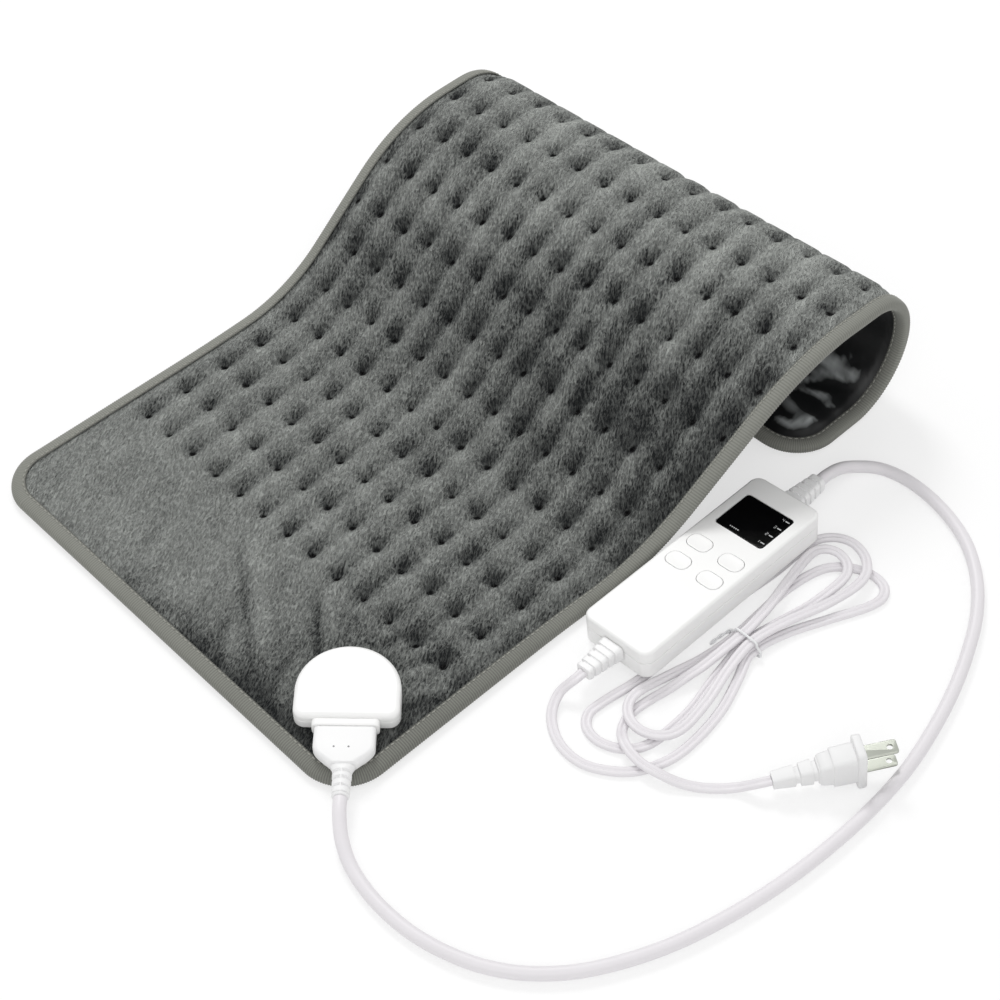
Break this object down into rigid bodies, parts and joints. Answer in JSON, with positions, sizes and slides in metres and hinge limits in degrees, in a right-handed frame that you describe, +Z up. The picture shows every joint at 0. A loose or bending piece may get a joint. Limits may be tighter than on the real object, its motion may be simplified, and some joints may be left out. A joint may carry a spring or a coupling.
{
  "type": "heating pad with controller",
  "caption": "Tufted plush heating pad, laid flat with its far end rolled over, with a plug-in cord, a hand controller with display and buttons, and a mains lead tied in a hank.",
  "frame": {"origin": "on the surface that the pad lies on, on the pad's centre line, under its first row of tufts", "axes": "+X across the pad towards the controller, +Y along the pad away from the end with the socket, +Z up"},
  "size_m": [0.4922, 0.445, 0.0921],
  "materials": {
    "plush": "short dense plush",
    "backing": "smooth woven, slightly shiny",
    "binding_tape": "ribbed tape",
    "felt": "needled felt",
    "wire_insulation": "smooth silicone",
    "case_plastic": "satin moulded",
    "button_plastic": "satin moulded",
    "cord_jacket": "satin extruded",
    "display_lens": "gloss black",
    "circuit_board": "solder resist",
    "electronic_parts": "moulded",
    "steel": "plain",
    "contact_metal": "nickel plated"
  },
  "bodies": {
    "pad": {"top_cover": "plush", "back_cover": "backing", "heating_carrier": "felt", "heating_wire": "wire_insulation", "edge_binding": "binding_tape", "socket_top_shell": "case_plastic", "socket_base_plate": "case_plastic", "socket_screw_1": "steel", "socket_screw_2": "steel", "socket_header": "electronic_parts", "socket_board": "circuit_board", "socket_pin_left": "contact_metal", "socket_pin_right": "contact_metal"},
    "control_set": {"connector_collar": "case_plastic", "connector_body": "case_plastic", "controller_bottom_shell": "case_plastic", "controller_top_shell": "case_plastic", "case_screw_1": "steel", "case_screw_2": "steel", "case_screw_3": "steel", "case_screw_4": "steel", "relay": "electronic_parts", "film_capacitor": "electronic_parts", "can_capacitor": "electronic_parts", "tact_switch_1": "electronic_parts", "tact_switch_2": "electronic_parts", "tact_switch_3": "electronic_parts", "tact_switch_4": "electronic_parts", "display_module": "electronic_parts", "circuit_board": "circuit_board", "connector_contact_left": "contact_metal", "connector_contact_right": "contact_metal", "fuse": "contact_metal", "plug_blade_narrow": "contact_metal", "plug_blade_wide": "contact_metal", "display_window": "display_lens", "mains_cord_grip": "cord_jacket", "pad_cord_grip": "cord_jacket", "plug_body": "cord_jacket", "pad_cord": "cord_jacket", "mains_cord_near": "cord_jacket", "mains_cord_hank": "cord_jacket", "mains_cord_far": "cord_jacket", "twist_tie": "cord_jacket"},
    "power_key": {"button_power": "button_plastic"},
    "timer_key": {"button_timer": "button_plastic"},
    "heat_down_key": {"button_heat_down": "button_plastic"},
    "heat_up_key": {"button_heat_up": "button_plastic"}
  },
  "joints": [
    {"name": "connector_pull", "type": "slide", "parent": "pad", "child": "control_set", "axis": [0.7071, -0.7071, 0], "range_m": [0, 0.012]},
    {"name": "power_press", "type": "slide", "parent": "control_set", "child": "power_key", "axis": [0.1219, 0, -0.9925], "range_m": [0, 0.0006], "stiffness_N_per_m": 2500, "springref_m": -0.0002},
    {"name": "timer_press", "type": "slide", "parent": "control_set", "child": "timer_key", "axis": [0.1219, 0, -0.9925], "range_m": [0, 0.0006], "stiffness_N_per_m": 2500, "springref_m": -0.0002},
    {"name": "heat_down_press", "type": "slide", "parent": "control_set", "child": "heat_down_key", "axis": [0.1219, 0, -0.9925], "range_m": [0, 0.0006], "stiffness_N_per_m": 2500, "springref_m": -0.0002},
    {"name": "heat_up_press", "type": "slide", "parent": "control_set", "child": "heat_up_key", "axis": [0.1219, 0, -0.9925], "range_m": [0, 0.0006], "stiffness_N_per_m": 2500, "springref_m": -0.0002}
  ]
}
